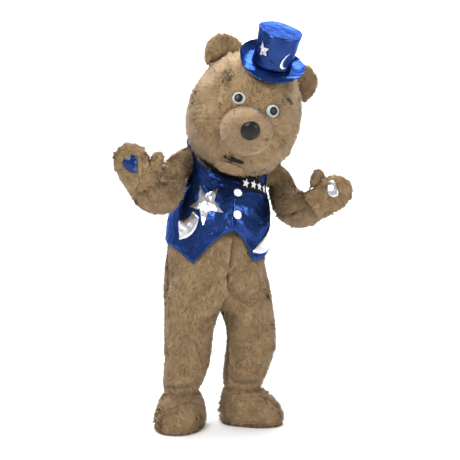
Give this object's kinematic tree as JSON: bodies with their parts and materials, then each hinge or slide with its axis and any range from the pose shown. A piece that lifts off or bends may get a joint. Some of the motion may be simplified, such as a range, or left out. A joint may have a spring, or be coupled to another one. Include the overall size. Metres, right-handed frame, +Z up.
{
  "type": "bear mascot costume with satin waistcoat and hat",
  "caption": "Plush bear mascot costume with head, suit, mitts, feet, blue satin waistcoat and satin hat, held in a worn stance with nobody inside.",
  "frame": {"origin": "between the shoulders inside the suit, where the wearer holds it up", "axes": "+Z up, -Y towards the front, +X to the viewer's right from the front"},
  "size_m": [1.1346, 0.7819, 1.96],
  "materials": {
    "plush_brown": "long pile plush",
    "plush_muzzle": "short pile plush",
    "satin_blue": "metallic satin",
    "lame_silver": "metallic lame",
    "cloth_black": "matte",
    "nose_black": "gloss",
    "eye_white": "satin",
    "button_white": "gloss",
    "sole_brown": "matte"
  },
  "bodies": {
    "root": {"badge_star_1": "button_white", "badge_star_2": "button_white", "badge_star_3": "button_white", "badge_star_4": "button_white", "button_lower": "button_white", "button_upper": "button_white", "ear_back_left": "plush_brown", "ear_back_right": "plush_brown", "ear_front_left": "plush_brown", "ear_front_right": "plush_brown", "eye_white_left": "eye_white", "eye_white_right": "eye_white", "foot_upper_left": "plush_brown", "foot_upper_right": "plush_brown", "hat_brim": "satin_blue", "hat_crown": "satin_blue", "hat_moon": "lame_silver", "hat_star": "lame_silver", "hat_tip": "satin_blue", "head_side_left": "plush_brown", "head_side_right": "plush_brown", "leg_back_left": "plush_brown", "leg_back_right": "plush_brown", "leg_front_left": "plush_brown", "leg_front_right": "plush_brown", "lower_jaw": "plush_brown", "mitt_back_left": "plush_brown", "mitt_back_right": "plush_brown", "mitt_palm_left": "plush_brown", "mitt_palm_right": "plush_brown", "mouth_lining": "cloth_black", "muzzle": "plush_muzzle", "neck_cover": "cloth_black", "nose": "nose_black", "palm_pad_left": "satin_blue", "palm_pad_right": "lame_silver", "pupil_left": "nose_black", "pupil_right": "nose_black", "sleeve_back_left": "plush_brown", "sleeve_back_right": "plush_brown", "sleeve_front_left": "plush_brown", "sleeve_front_right": "plush_brown", "sole_left": "sole_brown", "sole_right": "sole_brown", "suit_back_left": "plush_brown", "suit_back_right": "plush_brown", "suit_front_left": "plush_brown", "suit_front_right": "plush_brown", "thumb_left": "plush_brown", "thumb_right": "plush_brown", "vest_back_left": "satin_blue", "vest_back_right": "satin_blue", "vest_badge": "cloth_black", "vest_comet_tail": "lame_silver", "vest_crescent": "lame_silver", "vest_front_left": "satin_blue", "vest_front_right": "satin_blue", "vest_star": "lame_silver"}
  },
  "joints": []
}
